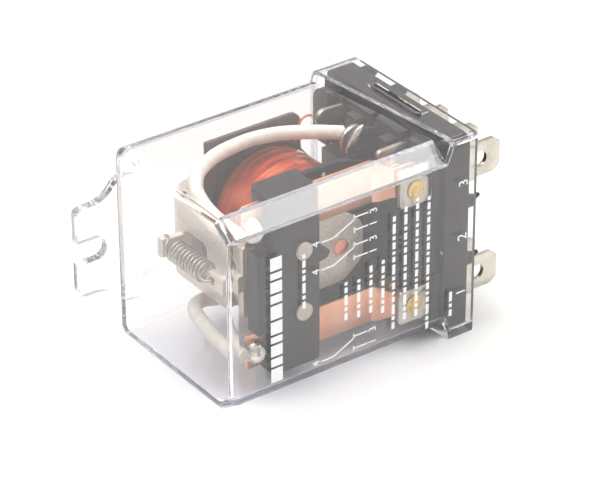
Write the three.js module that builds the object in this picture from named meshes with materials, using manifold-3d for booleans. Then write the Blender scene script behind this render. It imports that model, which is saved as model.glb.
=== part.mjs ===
// Plug-in power relay, two changeover poles, clear cover with a flange tab. Millimetres.
// +X is the plug-in direction (seating face of the base at x = 0, blades at x > 0),
// -Y the marked front, +Z the side that lies up; the relay rests on its -Z side.
import * as THREE from "three";
import { ConvexGeometry } from "three/addons/geometries/ConvexGeometry.js";
import Module from "manifold-3d";

const { Manifold, Mesh: SolidMesh } = await Module().then((m) => (m.setup(), m));

// driving dimensions
const CASE_Z = 39.0; // skirt width, side to side
const FRONT_Y = -17.2; // the cover's front is one plane from rim to closed end
const BACK_Y = 18.0; // back of the skirt and of the flange tab
const CASE_L = 49.8; // seating face to closed end
const WALL = 1.35; // cover wall
const STEP = 1.24; // how far the cover body stands inside the skirt
const SKIRT_X = -9.9; // where the ramp to the skirt begins, at the back
const RAMP = 1.4;
const RAMP_LEAD = 3.6; // the ramp begins that much nearer the rim at the front
const CHAMFER = { y: 4.1, z: 2.96 }; // long front edges of the cover body
const BACK_R = 2; // long back edges of it
const END_R = 1.5; // edges of the closed end
const TAB_REACH = 7.7; // flange tab past the closed end
const TAB_HALF = 8.4;
const SLOT_W = 4.2; // screw slot of the tab
const BASE_T = 6;
const RIM = 1; // the outer edge of the base is this far inside the cover's rim
const ROW_Z = 11.1; // the two blade rows stand at z = +-ROW_Z
const BLADE_W = 6.35; // 0.250 in quick-connect
const COIL_BLADE_W = 4.75; // 0.187 in quick-connect
const BLADE_T = 0.8;
const BLADE_TIP = 8.4;
const BLADE_HOLE_R = 1.45;
const COLUMN = { nc: -12.5, no: -6.7, com: 1.4, coil: 9.4 }; // blade planes, y
const NC_PLATE_Y = -13.5; // mid-plane of the plate that carries the closed contact
const NO_PLATE_Y = -7.7;
const CONTACT_X = -10.8;
const CONTACT_R = 1.65;
const ARM_Y = -9.0; // mid-plane of the moving arm, beside the coil
const ARM_END_Y = -11.4; // and at the contact
const ARM_T = 0.4;
const ARM_W = 6.6;
const PIVOT = { x: -38.2, y: -5 }; // the yoke edge that the armature rocks on
const ARMATURE_T = 1.6;
const COIL = { x: -23, r: 10.9, core: 4, y0: -3.4, y1: 12.4 };
const YOKE = { t: 1.6, half: 7.4, back: 14.8, bend: 3.2 }; // back is the y of its rear face
const FIT = 0.05; // gap between pieces that touch in the real relay

const root = new THREE.Group();
const MATERIALS = {
  clear_polycarbonate: [0xdfe3ea, 0.08, 0],
  black_phenolic: [0x2b2a29, 0.55, 0],
  tinned_brass: [0xc9c3b4, 0.35, 1],
  fine_silver_gilt: [0xe0bd62, 0.3, 1],
  copper_strip: [0xe2a07e, 0.35, 1],
  zinc_plated_steel: [0xcfc8bc, 0.4, 1],
  bare_copper: [0xd2835c, 0.4, 1],
  enamelled_copper_wire: [0xd8653a, 0.35, 0.6],
  brown_laminate: [0x5d514d, 0.7, 0],
  spring_steel: [0xb7b2aa, 0.3, 1],
  silicone_lead: [0xeae6df, 0.6, 0],
  tin_solder: [0xcfcdc8, 0.25, 1],
};

function add(name, slot, geometry) {
  const [color, roughness, metalness] = MATERIALS[slot];
  const material = new THREE.MeshStandardMaterial({ color, roughness, metalness });
  material.name = slot;
  const mesh = new THREE.Mesh(geometry, material);
  mesh.name = name;
  root.add(mesh);
}

// --- closed outlines and the solids made from them ---------------------------------------

// An outline from corners [a, b, radius], each rounded by its radius in `steps` facets.
function outline(corners, steps = 4) {
  const n = corners.length;
  const points = [];
  corners.forEach(([a, b, r = 0], i) => {
    const here = new THREE.Vector2(a, b);
    if (!r) return points.push(here);
    const to = (j) => new THREE.Vector2(...corners[(j + n) % n].slice(0, 2)).sub(here).normalize();
    const back = to(i - 1);
    const on = to(i + 1);
    const half = Math.acos(THREE.MathUtils.clamp(back.dot(on), -1, 1)) / 2;
    const middle = back.clone().add(on).normalize().multiplyScalar(r / Math.sin(half)).add(here);
    const first = back.clone().multiplyScalar(r / Math.tan(half)).add(here).sub(middle);
    const last = on.clone().multiplyScalar(r / Math.tan(half)).add(here).sub(middle);
    const turn = Math.atan2(first.cross(last), first.dot(last));
    for (let k = 0; k <= steps; k++)
      points.push(first.clone().rotateAround(new THREE.Vector2(), (turn * k) / steps).add(middle));
  });
  return new THREE.Shape(points);
}

function rounded(a0, a1, b0, b1, r, steps = 4) {
  return outline([[a0, b0, r], [a1, b0, r], [a1, b1, r], [a0, b1, r]], steps);
}

function disc(a, b, r, sides = 24) {
  const points = [];
  for (let k = 0; k < sides; k++) {
    const t = (2 * Math.PI * k) / sides;
    points.push(new THREE.Vector2(a + r * Math.cos(t), b + r * Math.sin(t)));
  }
  return new THREE.Shape(points);
}

// Extrudes an outline; bevel = [along, inwards, segments] rounds both ends.
function extrude(shape, depth, bevel) {
  const [along = 0, inwards = 0, segments = 1] = bevel ?? [];
  const g = new THREE.ExtrudeGeometry(shape, {
    depth: depth - 2 * along,
    bevelEnabled: Boolean(bevel),
    bevelThickness: along,
    bevelSize: inwards,
    bevelOffset: -inwards,
    bevelSegments: segments,
  });
  return g.translate(0, 0, along);
}

const X = new THREE.Vector3(1, 0, 0);
const Y = new THREE.Vector3(0, 1, 0);
const Z = new THREE.Vector3(0, 0, 1);

// Outline in (y, z), swept from x0 to x1.
function alongX(shape, x0, x1, bevel) {
  const m = new THREE.Matrix4().makeBasis(Y, Z, X).setPosition(x0, 0, 0);
  return extrude(shape, x1 - x0, bevel).applyMatrix4(m);
}

// Outline in (x, z), swept from y0 to y1.
function alongY(shape, y0, y1, bevel) {
  const m = new THREE.Matrix4().makeBasis(X, Z, Y.clone().negate()).setPosition(0, y1, 0);
  return extrude(shape, y1 - y0, bevel).applyMatrix4(m);
}

// Outline in (x, y), swept from z0 to z1.
function alongZ(shape, z0, z1, bevel) {
  return extrude(shape, z1 - z0, bevel).translate(0, 0, z0);
}

function box(x0, x1, y0, y1, z0, z1) {
  const g = new THREE.BoxGeometry(x1 - x0, y1 - y0, z1 - z0);
  return g.translate((x0 + x1) / 2, (y0 + y1) / 2, (z0 + z1) / 2);
}

function welded(geometry) {
  const g = geometry.index ? geometry.toNonIndexed() : geometry;
  const position = g.attributes.position.array;
  const seen = new Map();
  const kept = [];
  const index = new Uint32Array(position.length / 3);
  for (let i = 0; i < index.length; i++) {
    const p = [0, 1, 2].map((k) => Math.round(position[3 * i + k] * 2000) / 2000);
    const key = p.join();
    if (!seen.has(key)) {
      seen.set(key, kept.length / 3);
      kept.push(...p);
    }
    index[i] = seen.get(key);
  }
  const triangles = [];
  for (let i = 0; i < index.length; i += 3) {
    const [a, b, c] = index.slice(i, i + 3);
    if (a !== b && b !== c && c !== a) triangles.push(a, b, c);
  }
  return { vertProperties: new Float32Array(kept), triVerts: new Uint32Array(triangles) };
}

function solid(geometry) {
  if (!geometry.isBufferGeometry) return geometry;
  return new Manifold(new SolidMesh({ numProp: 3, ...welded(geometry) }));
}

const join = (...parts) => parts.map(solid).reduce((a, b) => a.add(b));
const cut = (from, ...tools) => tools.map(solid).reduce((a, b) => a.subtract(b), solid(from));
const common = (a, b) => solid(a).intersect(solid(b));

function geometryOf(body) {
  const m = body.getMesh();
  const g = new THREE.BufferGeometry();
  g.setAttribute("position", new THREE.BufferAttribute(m.vertProperties, 3));
  g.setIndex(new THREE.BufferAttribute(m.triVerts, 1));
  const flat = g.toNonIndexed();
  flat.computeVertexNormals();
  return flat;
}

// A round wire of radius r along a smooth path through the points.
function wire(points, r, steps, sides = 10) {
  const path = new THREE.CatmullRomCurve3(points.map((p) => new THREE.Vector3(...p)), false, "centripetal");
  return new THREE.ExtrudeGeometry(disc(0, 0, r, sides), { steps, extrudePath: path, bevelEnabled: false });
}

// --- cover -------------------------------------------------------------------------------

const bodyY = BACK_Y - STEP;
const bodyZ = CASE_Z / 2 - STEP;

// The body's outline (y, z) moved inwards by `by`: chamfered at the front, rounded at the back.
function bodyOutline(by) {
  const slope = Math.hypot(CHAMFER.y, CHAMFER.z);
  const y = FRONT_Y + CHAMFER.y + (by * (slope - CHAMFER.y)) / CHAMFER.z;
  const z = bodyZ - CHAMFER.z - (by * (slope - CHAMFER.z)) / CHAMFER.y;
  const r = BACK_R - 0.7 * by;
  return outline([
    [FRONT_Y + by, -z], [y, by - bodyZ], [bodyY - by, by - bodyZ, r],
    [bodyY - by, bodyZ - by, r], [y, bodyZ - by], [FRONT_Y + by, z],
  ]);
}

// The cover's form from x0 to x1, moved inwards by `by`: body, ramp and skirt in one.
function coverForm(by, x0, x1, bevel) {
  const half = CASE_Z / 2 - by;
  const skirt = outline([
    [FRONT_Y + by, -half, 0.8], [BACK_Y - by, -half, 2.2 - by],
    [BACK_Y - by, half, 2.2 - by], [FRONT_Y + by, half, 0.8],
  ]);
  const ramp = SKIRT_X + 0.45 * by;
  const ring = (shape, x, lead) =>
    shape.getPoints().map((p) => new THREE.Vector3(x + (p.x < 0 ? lead : 0), p.x, p.y));
  return join(
    alongX(bodyOutline(by), x0, -3, bevel),
    new ConvexGeometry([
      ...ring(bodyOutline(by), ramp, RAMP_LEAD), ...ring(skirt, ramp + RAMP, RAMP_LEAD),
      ...ring(skirt, x1, 0),
    ]),
  );
}

// The screw slot: round at its inner end, open at the tab's end with eased mouth corners.
function slotOutline(inner, outer) {
  const r = SLOT_W / 2;
  const points = [];
  for (let k = 0; k <= 12; k++) {
    const t = -Math.PI / 2 + (Math.PI * k) / 12;
    points.push(new THREE.Vector2(inner - r + r * Math.cos(t), r * Math.sin(t)));
  }
  points.push(
    new THREE.Vector2(outer + 0.9, r), new THREE.Vector2(outer + 0.25, r + 0.25),
    new THREE.Vector2(outer, r + 0.9), new THREE.Vector2(outer - 1, r + 0.9),
    new THREE.Vector2(outer - 1, -r - 0.9), new THREE.Vector2(outer, -r - 0.9),
    new THREE.Vector2(outer + 0.25, -r - 0.25), new THREE.Vector2(outer + 0.9, -r),
  );
  return new THREE.Shape(points);
}

const tabEnd = -CASE_L - TAB_REACH;
const slotEnd = -CASE_L - 1.9;
const tab = cut(
  alongY(
    outline([
      [-44, -12.1, 1], [-49.2, -12.1, 2.6], [-51.6, -TAB_HALF, 2.6], [tabEnd, -TAB_HALF, 1.3],
      [tabEnd, TAB_HALF, 1.3], [-51.6, TAB_HALF, 2.6], [-49.2, 12.1, 2.6], [-44, 12.1, 1],
    ]),
    bodyY - 0.3, BACK_Y,
  ),
  alongY(slotOutline(slotEnd, tabEnd), 0, 30),
);

const latch = (side) => {
  const z = side * CASE_Z / 2;
  const frame = rounded(-4.9, -2.4, -7.2, 6.8, 0.5, 2);
  const window = rounded(-4.35, -3.35, -6.6, 6.2, 0.4, 2);
  return [
    alongZ(frame, Math.min(z - side * 0.6, z + side * 0.4), Math.max(z - side * 0.6, z + side * 0.4)),
    alongZ(window, z - 2, z + 2),
  ];
};
const [frameTop, windowTop] = latch(1);
const [frameBottom, windowBottom] = latch(-1);
add(
  "cover", "clear_polycarbonate",
  geometryOf(cut(
    join(coverForm(0, -CASE_L, 0, [END_R, END_R, 3]), tab, frameTop, frameBottom),
    coverForm(WALL, -CASE_L + WALL, 3, [0.5, 0.5, 1]), windowTop, windowBottom,
  )),
);

// --- base --------------------------------------------------------------------------------

const baseFront = FRONT_Y + WALL + 0.1;
const baseBack = BACK_Y - WALL - 0.1;
const baseZ = CASE_Z / 2 - WALL - 0.1;
const postY = bodyY - WALL - 0.1;
const postZ = bodyZ - WALL - 0.1;
const blocks = [
  alongX(rounded(baseFront, baseBack, -baseZ, baseZ, 0.9, 2), -BASE_T, -RIM),
  alongX(rounded(baseFront + 1.2, baseBack - 1.2, -baseZ + 1.2, baseZ - 1.2, 0.9, 2), -BASE_T, 0),
];
blocks.push(box(-11.4, -BASE_T + 1, -14, 10.8, -7, 7)); // pedestal between the two poles
for (const s of [-1, 1]) {
  const z = (a, b) => (s > 0 ? [a, b] : [-b, -a]);
  const post = outline([[11.2, s * 6.5], [postY, s * 6.5], [postY, s * postZ, 2.5], [11.2, s * postZ]]);
  blocks.push(alongX(post, -9.9, -BASE_T + 1)); // rear corner post
  blocks.push(box(-7.6, -BASE_T + 1, -14.6, 11.4, ...z(6.5, postZ - 0.8))); // step under the lugs
  blocks.push(box(-9.9, -BASE_T + 1, -5.4, -3.2, ...z(6.5, postZ - 2)));
  blocks.push(box(-9.4, -BASE_T + 1, 3.6, 6.6, ...z(6.5, postZ - 2)));
}
// Blunt pegs stand under the rear edge, pointed ones along the front edge: [y, z, profile].
const blunt = [[0, -1.2], [1.2, -1.2], [1.2, 1.6], [1, 2.2], [0.6, 2.4], [0, 2.4]];
const pointed = [[0, -1.2], [1.2, -1.2], [1.2, 0.2], [0.9, 1], [0.3, 2.7], [0, 2.8]];
const pegAt = [
  [-14.6, 5.6, pointed], [-14.6, -5.6, pointed], [5.5, 16.4, blunt], [14, 16.4, blunt],
  [5.5, -16.4, blunt], [14, -16.4, blunt],
];
for (const [y, z, profile] of pegAt) {
  const peg = new THREE.LatheGeometry(profile.map((p) => new THREE.Vector2(...p)), 14);
  blocks.push(peg.rotateZ(-Math.PI / 2).translate(0, y, z));
}
const platePlane = { ...COLUMN, nc: NC_PLATE_Y, no: NO_PLATE_Y };
const wells = [];
for (const s of [-1, 1])
  for (const [kind, y] of Object.entries(COLUMN)) {
    const half = (kind === "coil" ? COIL_BLADE_W : BLADE_W) / 2 + 0.2;
    const gap = BLADE_T / 2 + 0.2;
    wells.push(box(-20, 5, y - gap, y + gap, s * ROW_Z - half, s * ROW_Z + half));
    wells.push(box(-20, -BASE_T, platePlane[kind] - gap, y + gap, s * 12 - 4.3, s * 12 + 4.3));
  }
const room = coverForm(WALL + 0.1, -20, 5);
add("base", "black_phenolic", geometryOf(cut(common(join(...blocks), room), ...wells)));

// --- terminals: a quick-connect blade outside and a plate or lug inside, one strip ---------

// A strip of constant thickness through the points (x, y), as an outline.
function ribbon(points, t) {
  const side = (k) =>
    points.map(([x, y], i) => {
      const before = points[Math.max(i - 1, 0)];
      const after = points[Math.min(i + 1, points.length - 1)];
      const along = new THREE.Vector2(after[0] - before[0], after[1] - before[1]).normalize();
      return new THREE.Vector2(x - along.y * k, y + along.x * k);
    });
  return new THREE.Shape([...side(-t / 2), ...side(t / 2).reverse()]);
}

function terminal(kind, s) {
  const y = COLUMN[kind];
  const half = (kind === "coil" ? COIL_BLADE_W : BLADE_W) / 2;
  const zAt = (v) => s * v;
  const tip = [
    [-7, zAt(ROW_Z - half)], [BLADE_TIP - 1.3, zAt(ROW_Z - half), 0.5],
    [BLADE_TIP, zAt(ROW_Z - half + 1), 0.5], [BLADE_TIP, zAt(ROW_Z + half - 1), 0.5],
    [BLADE_TIP - 1.3, zAt(ROW_Z + half), 0.5], [-7, zAt(ROW_Z + half)],
  ];
  const inner = {
    nc: [[-7, 14.4], [-14, 14.4, 0.8], [-14, 8.1, 0.8], [-8, 8.1, 0.6], [-8, 12.4], [-7, 12.4]],
    no: [[-7, 15.2], [-13.7, 15.2, 0.8], [-13.7, 8.6, 0.8], [-8, 8.6, 0.6], [-8, 12.8], [-7, 12.8]],
    com: [[-7, 13.8], [-9.2, 14.2, 1], [-11.2, 15.8, 2], [-14.4, 14.6, 2], [-14.2, 10, 2.6], [-9.6, 9.8, 1.6],
      [-7, 9.4]],
    coil: [[-7, 13.2], [-8.2, 15.2, 0.4], [-13.6, 15.2, 1.5], [-13.6, 12.6, 0.9], [-9, 12.2, 0.8], [-7, 9.6]],
  }[kind].map(([a, b, r]) => [a, zAt(b), r]);
  const plane = platePlane[kind];
  const bend = [[BLADE_TIP + 1, y], [-6.3, y], [-7.7, plane], [-20, plane]];
  const flat = alongY(outline([...inner, ...tip]), -18, 15);
  const strip = alongZ(ribbon(bend, BLADE_T), s > 0 ? 5 : -18, s > 0 ? 18 : -5);
  const holes = [alongY(disc(4.15, zAt(ROW_Z), kind === "coil" ? 0.9 : BLADE_HOLE_R, 20), -18, 15)];
  if (plane !== y) holes.push(alongY(disc(CONTACT_X, zAt(ROW_Z), 0.85 + FIT, 16), -18, 15));
  return cut(common(strip, flat), ...holes);
}

for (const [s, place] of [[1, "upper"], [-1, "lower"]])
  for (const kind of Object.keys(COLUMN))
    add(`terminal_${kind}_${place}`, "tinned_brass", geometryOf(terminal(kind, s)));

// --- contacts: rivets with a head on each side of the strip that holds them ----------------

function rivet(x, z, y0, y1, rFront, tFront, rBack, tBack, rShank, sides = 20) {
  return join(
    alongY(disc(x, z, rFront, sides), y0 - tFront, y0 - FIT),
    alongY(disc(x, z, rShank, sides), y0 - tFront / 2, y1 + tBack / 2),
    alongY(disc(x, z, rBack, sides), y1 + FIT, y1 + tBack),
  );
}

for (const [s, place] of [[1, "upper"], [-1, "lower"]]) {
  const z = s * ROW_Z;
  const face = (y) => [y - BLADE_T / 2, y + BLADE_T / 2];
  add(`contact_nc_${place}`, "fine_silver_gilt",
    geometryOf(rivet(CONTACT_X, z, ...face(NC_PLATE_Y), 1.65, 0.2, CONTACT_R, 0.8, 0.8)));
  add(`contact_no_${place}`, "fine_silver_gilt",
    geometryOf(rivet(CONTACT_X, z, ...face(NO_PLATE_Y), CONTACT_R, 0.8, 1.5, 0.2, 0.8)));
  add(`contact_moving_${place}`, "fine_silver_gilt",
    geometryOf(rivet(
      CONTACT_X, z, ARM_END_Y - ARM_T / 2, ARM_END_Y + ARM_T / 2, CONTACT_R, 0.67, CONTACT_R, 0.7, 0.8,
    )));
}

// --- moving contact arms -----------------------------------------------------------------

for (const [s, place] of [[1, "upper"], [-1, "lower"]]) {
  const z0 = ROW_Z + 0.5 - ARM_W / 2;
  const z1 = z0 + ARM_W;
  const plan = outline(
    [[-42.1, z0, 0.6], [-15.4, z0], [-13.6, z0 + 0.9], [-8.5, z0 + 0.9, 1.2], [-8.5, z1 - 0.9, 1.2],
      [-13.6, z1 - 0.9], [-15.4, z1], [-42.1, z1, 0.6]].map(([a, b, r]) => [a, s * b, r]));
  const bend = ribbon([[-44, ARM_Y], [-16.2, ARM_Y], [-13.2, ARM_END_Y], [-5, ARM_END_Y]], ARM_T);
  const blank = common(alongZ(bend, s > 0 ? 5 : -18, s > 0 ? 18 : -5), alongY(plan, -14, -6));
  add(`arm_${place}`, "copper_strip",
    geometryOf(cut(blank, alongY(disc(CONTACT_X, s * ROW_Z, 0.85 + FIT, 16), -14, -6))));
}

// --- armature, its residual rivet and the carrier ------------------------------------------

const armatureFront = PIVOT.y - ARMATURE_T;
const armaturePlan = outline([
  [-40.6, -6.7, 0.6], [-20, -6.7, 2.5], [-16.1, -3.4, 3], [-16.1, 3.4, 3], [-20, 6.7, 2.5], [-40.6, 6.7, 0.6],
  [-40.6, 1.5], [-43.3, 1.5], [-43.3, -1.5], [-40.6, -1.5],
]);
const tail = cut(
  alongX(rounded(armatureFront, -1.9, -1.5, 1.5, 0.9, 4), -43.3, -42.3),
  alongX(rounded(-4.2, -2.7, -0.7, 0.7, 0.4, 2), -46, -40),
);
const RIVETS_Z = 5.8;
const CARRIER_RIVET_X = -32.1;
const rivetHoles = [1, -1].map((s) => alongY(disc(CARRIER_RIVET_X, s * RIVETS_Z, 0.95, 16), -20, 0));
const residual = { x: -20.7, r: 1.45 };
add("armature", "zinc_plated_steel", geometryOf(cut(
  join(alongY(armaturePlan, armatureFront, PIVOT.y), tail),
  alongY(disc(residual.x, 0, residual.r + FIT, 24), -20, 0), ...rivetHoles,
)));
add("residual_rivet", "bare_copper",
  geometryOf(solid(alongY(disc(residual.x, 0, residual.r, 24), armatureFront - 0.15, PIVOT.y + 0.12))));

const carrierFront = -11.6;
const carrier = cut(
  join(
    alongY(outline([
      [-41.1, -7.6], [-38, -6.9], [-38.4, -16.2, 0.5], [-28.8, -16.2, 0.5], [-28.8, 2.4], [-27.2, 2.7, 0.3],
      [-26.5, 3.8, 0.5], [-28.8, 5.6], [-28.8, 16.2, 0.5], [-38.4, 16.2, 0.5], [-38, 6.9], [-41.1, 7.6],
    ]), carrierFront, armatureFront - FIT),
    box(-37.2, -28.2, armatureFront - 0.5, -5.2, 7.3, 15.9),
    box(-37.2, -28.2, armatureFront - 0.5, -5.2, -15.9, -7.3),
  ),
  ...rivetHoles,
  box(-50, -38.2, -8.6, 0, -7.8, 7.8),
  box(-50, -17, ARM_Y - ARM_T / 2 - FIT, ARM_Y + ARM_T / 2 + FIT, ROW_Z - 2.85, ROW_Z + 3.85),
  box(-50, -17, ARM_Y - ARM_T / 2 - FIT, ARM_Y + ARM_T / 2 + FIT, -ROW_Z - 3.85, -ROW_Z + 2.85),
);
add("contact_carrier", "black_phenolic", geometryOf(carrier));
for (const [s, place] of [[1, "upper"], [-1, "lower"]])
  add(`carrier_rivet_${place}`, "zinc_plated_steel", geometryOf(join(
    alongY(disc(CARRIER_RIVET_X, s * RIVETS_Z, 1.6, 20), carrierFront - 0.55, carrierFront - FIT),
    alongY(disc(CARRIER_RIVET_X, s * RIVETS_Z, 0.9, 16), carrierFront - 0.3, PIVOT.y - 0.1),
  )));

// --- yoke, core, bobbin, winding -----------------------------------------------------------

const yokeOuter = PIVOT.x - YOKE.t;
const lug = alongZ(outline([
  [-43.9, 9.9], [-43.9, 11.1], [yokeOuter, 11.1], [yokeOuter + 0.8, 11.9], [yokeOuter + 0.8, 9.9],
]), -1.3, 1.3);
const yoke = join(
  cut(
    alongZ(outline([
      [yokeOuter, PIVOT.y + FIT], [PIVOT.x, PIVOT.y + FIT], [PIVOT.x, YOKE.back - YOKE.t, YOKE.bend - YOKE.t],
      [-14, YOKE.back - YOKE.t], [-14, YOKE.back], [yokeOuter, YOKE.back, YOKE.bend],
    ], 5), -YOKE.half, YOKE.half),
    alongX(rounded(3, 9.9, -2.4, 2.4, 1.2), -42, -38),
    alongY(disc(COIL.x, 0, 2.6, 24), 10, 20),
  ),
  lug,
  alongX(rounded(9.7, 11.3, -1.9, 1.9, 0.5, 3), -44.3, -43.1, [0.3, 0.3, 2]),
);
add("yoke", "zinc_plated_steel", geometryOf(yoke));
add("core", "zinc_plated_steel", geometryOf(join(
  alongY(disc(COIL.x, 0, COIL.core, 28), -3.7, YOKE.back - YOKE.t - FIT),
  alongY(disc(COIL.x, 0, 2.5, 24), 13, YOKE.back + 0.1),
)));
const flange = alongY(outline([
  [-34.2, -10.6, 2.5], [-28, -12.9, 6], [-18, -12.9, 6], [-11.8, -10.6, 2.5],
  [-11.8, 10.6, 2.5], [-18, 12.9, 6], [-28, 12.9, 6], [-34.2, 10.6, 2.5],
]), COIL.y0, COIL.y0 + 1.2);
add("bobbin", "black_phenolic", geometryOf(cut(
  join(
    flange,
    alongY(disc(COIL.x, 0, COIL.core + 1.2, 28), COIL.y0, COIL.y1),
    alongY(disc(COIL.x, 0, 11, 40), COIL.y1 - 1, COIL.y1),
  ),
  alongY(disc(COIL.x, 0, COIL.core + 0.1, 28), -10, 20),
)));
const wind = [
  [COIL.core + 1.3, COIL.y0 + 1.25], [COIL.r - 0.6, COIL.y0 + 1.25], [COIL.r - 0.15, COIL.y0 + 3],
  [COIL.r, COIL.y0 + 7], [COIL.r - 0.1, COIL.y0 + 11], [COIL.r - 0.6, COIL.y1 - 1.05],
  [COIL.core + 1.3, COIL.y1 - 1.05], [COIL.core + 1.3, COIL.y0 + 1.25],
].map((p) => new THREE.Vector2(...p));
add("coil_winding", "enamelled_copper_wire",
  geometryOf(solid(new THREE.LatheGeometry(wind, 48).translate(COIL.x, 0, 0))));
add("rear_insulator", "brown_laminate", geometryOf(cut(
  alongY(outline([
    [-34.1, -14.4, 0.3], [-14.6, -14.4, 2], [-14.6, 14.4, 2], [-34.1, 14.4, 0.3],
  ]), COIL.y1 + FIT, YOKE.back - YOKE.t - FIT),
  alongY(disc(COIL.x, 0, COIL.core + 0.1, 28), 5, 20),
)));

// --- return spring -------------------------------------------------------------------------

const springAt = { x: -42.6, r: 1.75, y0: -1.0, y1: 8.2, turns: 10, wire: 0.28 };
const coils = [];
for (let k = 0; k <= springAt.turns * 12; k++) {
  const t = (2 * Math.PI * k) / 12;
  const y = springAt.y0 + ((springAt.y1 - springAt.y0) * k) / (springAt.turns * 12);
  coils.push([springAt.x - springAt.r * Math.cos(t), y, springAt.r * Math.sin(t)]);
}
add("return_spring", "spring_steel", wire([
  [-41.5, -3.2, 0], [-42.2, -3.4, 0], [-43, -3.45, 0], [-43.8, -3.2, 0], [-44.3, -2.2, -0.1],
  ...coils.slice(1, -1),
  [-44, 8.9, 0.8], [-43.2, 9.5, 1.5], [-42.6, 10.5, 1.65], [-42.6, 11.5, 1.1], [-42.6, 11.7, -0.4],
], springAt.wire, 330, 6));

// --- pigtail leads, coil wires and solder ----------------------------------------------------

add("pigtail_upper", "silicone_lead", wire([
  [-12.6, 3.1, 13.6], [-14.6, 3.9, 14], [-17.6, 6.2, 14], [-23, 9.4, 13.8], [-30.4, 10, 13.7],
  [-37.2, 8, 13.6], [-41.8, 4.2, 13.4], [-43.8, -0.2, 12.8], [-44.1, -4.6, 11.8],
  [-43.8, -8.4, 11.2], [-43.5, -10.6, 11],
], 1.25, 60, 14));
add("pigtail_lower", "silicone_lead", wire([
  [-12.6, 3.1, -13.6], [-14.8, 4, -14.2], [-18, 6.2, -14.6], [-23, 8.6, -14.6], [-29.6, 9, -14],
  [-35.4, 7.6, -11.8], [-39.8, 5.6, -9.8], [-42.7, 2.6, -9], [-43.6, -2, -9.6], [-43.7, -7.4, -10.6],
  [-43.5, -10.6, -11],
], 1.25, 60, 14));
for (const [s, place] of [[1, "upper"], [-1, "lower"]]) {
  add(`coil_wire_${place}`, "enamelled_copper_wire", wire([
    [-17.8, 9.6, s * 10.5], [-17.2, 9.9, s * 12.2], [-16.2, 10.2, s * 14], [-15, 10.1, s * 14.6],
    [-13.9, 10.15, s * 14.3],
  ], 0.22, 24, 8));
  const onArm = new THREE.SphereGeometry(2.1, 18, 12).scale(0.9, 0.85, 1)
    .translate(-40.6, ARM_Y - 0.9, s * 11.4);
  add(`solder_arm_${place}`, "tin_solder", geometryOf(cut(
    onArm, box(-50, -30, ARM_Y - ARM_T / 2 - FIT, 0, -20, 20), box(-47, -42.1, -20, 0, -20, 20),
    box(-38.9, -30, -20, 0, -20, 20),
  )));
  // The solder on the lug runs up its neck as a ridge.
  const onLug = new THREE.SphereGeometry(1, 20, 12).scale(3, 0.9, 1.3).rotateY(s * -0.9)
    .translate(-11.6, COLUMN.com - BLADE_T / 2, s * 13);
  add(`solder_com_${place}`, "tin_solder",
    geometryOf(cut(onLug, box(-20, 0, COLUMN.com - BLADE_T / 2 - FIT, 20, -20, 20))));
}

export default root;
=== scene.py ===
import math

import bmesh
import bpy
from mathutils import Matrix, Vector, noise


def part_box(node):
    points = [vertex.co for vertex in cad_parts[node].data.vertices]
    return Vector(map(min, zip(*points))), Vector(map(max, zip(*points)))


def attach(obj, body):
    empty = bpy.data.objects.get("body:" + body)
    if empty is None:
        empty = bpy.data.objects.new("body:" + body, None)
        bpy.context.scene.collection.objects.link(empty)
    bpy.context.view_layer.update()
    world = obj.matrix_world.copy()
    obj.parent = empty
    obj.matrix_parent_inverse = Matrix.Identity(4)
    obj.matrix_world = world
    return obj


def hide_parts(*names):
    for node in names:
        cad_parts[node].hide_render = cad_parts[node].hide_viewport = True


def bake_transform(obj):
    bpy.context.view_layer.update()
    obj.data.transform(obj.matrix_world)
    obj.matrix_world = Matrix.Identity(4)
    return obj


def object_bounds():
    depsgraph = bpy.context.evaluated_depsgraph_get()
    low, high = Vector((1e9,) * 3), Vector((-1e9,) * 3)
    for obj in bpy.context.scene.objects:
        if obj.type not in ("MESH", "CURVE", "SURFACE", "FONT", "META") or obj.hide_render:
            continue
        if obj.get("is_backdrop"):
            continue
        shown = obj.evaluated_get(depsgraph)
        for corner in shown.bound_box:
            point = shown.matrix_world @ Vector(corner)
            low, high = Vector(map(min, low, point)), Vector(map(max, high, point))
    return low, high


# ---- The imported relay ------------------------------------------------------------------
# Every piece sits in the relay's own frame: blades towards +X, marked front towards -Y, and
# +Z the side that lies up. The housing is the fixed body, the armature the one that rocks.
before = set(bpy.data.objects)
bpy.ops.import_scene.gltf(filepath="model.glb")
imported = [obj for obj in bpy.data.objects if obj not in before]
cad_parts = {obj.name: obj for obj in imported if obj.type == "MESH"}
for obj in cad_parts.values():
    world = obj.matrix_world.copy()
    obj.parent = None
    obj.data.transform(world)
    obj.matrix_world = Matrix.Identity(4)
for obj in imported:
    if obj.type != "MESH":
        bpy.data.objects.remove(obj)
cad_box = [list(corner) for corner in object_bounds()]
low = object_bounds()[0]

MM = 0.001


# ---- Camera ----------------------------------------------------------------------------
# A long lens that looks down on the closed end and the marked front of the relay.
# At this distance the view is nearly parallel.
sight = Vector((0.50289, 0.69718, -0.51093)).normalized()
right = sight.cross(Vector((0.30299, 0.41142, 0.85961))).normalized()
camera = bpy.data.objects.new("camera", bpy.data.cameras.new("camera"))
camera.matrix_world = Matrix((right, right.cross(sight), -sight)).transposed().to_4x4()
camera.matrix_world.translation = (-0.28299, -0.35928, 0.26226)
camera.data.lens = 184.05
camera.data.sensor_width = 36
camera.data.clip_end = 10
bpy.context.scene.collection.objects.link(camera)
bpy.context.scene.camera = camera


# ---- Floor and studio light ------------------------------------------------------------
# A white sweep under a large overhead soft box and white walls: the relay stands in light
# from all sides, and its shadow is faint and soft.
def linear(code):
    """An sRGB hex colour as the linear RGBA that a shader takes."""
    parts = [int(code[i : i + 2], 16) / 255 for i in (1, 3, 5)]
    return [*(c / 12.92 if c <= 0.04045 else ((c + 0.055) / 1.055) ** 2.4 for c in parts), 1]


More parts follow.
